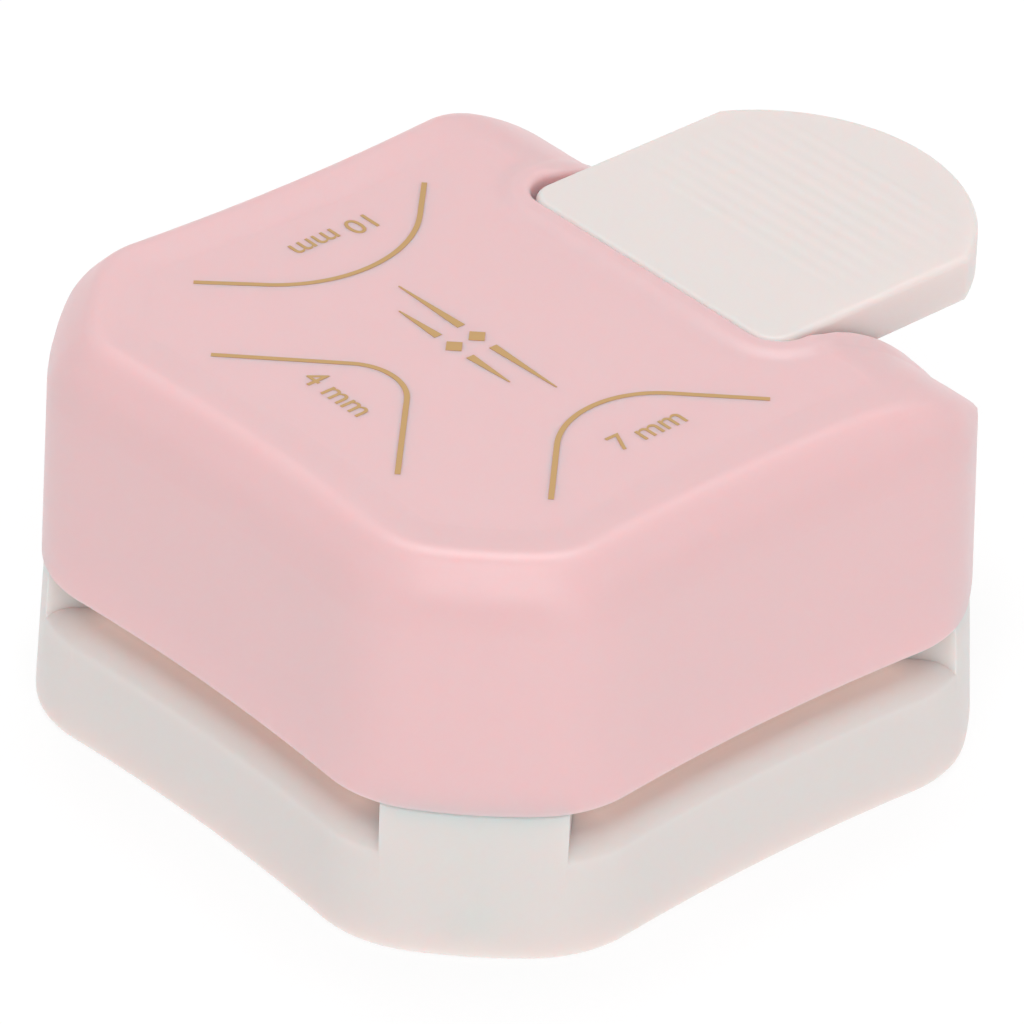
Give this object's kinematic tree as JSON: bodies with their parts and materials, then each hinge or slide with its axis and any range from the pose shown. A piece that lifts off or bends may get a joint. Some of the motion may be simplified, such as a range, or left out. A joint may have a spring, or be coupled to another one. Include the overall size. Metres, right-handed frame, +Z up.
{
  "type": "corner rounder",
  "caption": "Hand press that rounds paper corners to one of several radii, with slots round a soft square body and a rear thumb lever.",
  "frame": {"origin": "middle of the body's plan outline, on the plane it rests on", "axes": "+Z up, +Y towards the thumb lever at the back, +X to the right-hand side with the middle radius"},
  "size_m": [0.0534, 0.0638, 0.029],
  "materials": {
    "pink_plastic": "satin pale pink",
    "white_plastic": "satin warm white",
    "grey_plastic": "matte light grey",
    "tool_steel": "ground",
    "plated_steel": "bright zinc plate",
    "spring_steel": "drawn wire"
  },
  "bodies": {
    "housing": {"base_housing": "white_plastic", "die_plate": "tool_steel", "die_screws": "plated_steel", "upper_frame": "white_plastic", "frame_screws": "plated_steel", "guide_posts": "plated_steel", "lever_pin": "plated_steel", "pin_clips": "spring_steel", "top_cover": "pink_plastic", "case_screws": "plated_steel", "return_spring_front_left": "spring_steel", "return_spring_front_right": "spring_steel", "return_spring_back_left": "spring_steel", "return_spring_back_right": "spring_steel"},
    "thumb_lever": {"lever": "white_plastic"},
    "punch_carriage": {"punch_carrier": "grey_plastic", "wear_pad": "plated_steel", "punch_r4": "tool_steel", "punch_r7": "tool_steel", "punch_r10": "tool_steel", "punch_screws": "plated_steel"},
    "chip_drawer": {"chip_lid": "white_plastic"}
  },
  "joints": [
    {"name": "lever_press", "type": "hinge", "parent": "housing", "child": "thumb_lever", "pos_m": [0, -0.0185, 0.02116], "axis": [-1, 0, 0], "range_deg": [0, 11.4]},
    {"name": "punch_stroke", "type": "slide", "parent": "housing", "child": "punch_carriage", "axis": [0, 0, -1], "range_m": [0, 0.00368], "stiffness_N_per_m": 2000, "springref_m": -0.003, "deforming": ["return_spring_front_left", "return_spring_front_right", "return_spring_back_left", "return_spring_back_right"]},
    {"name": "chip_lid_slide", "type": "slide", "parent": "housing", "child": "chip_drawer", "axis": [0, 1, 0], "range_m": [0, 0.036]}
  ],
  "couplings": [
    {"joint": "lever_press", "follows": "punch_stroke", "rad_per_m": 54.13}
  ]
}
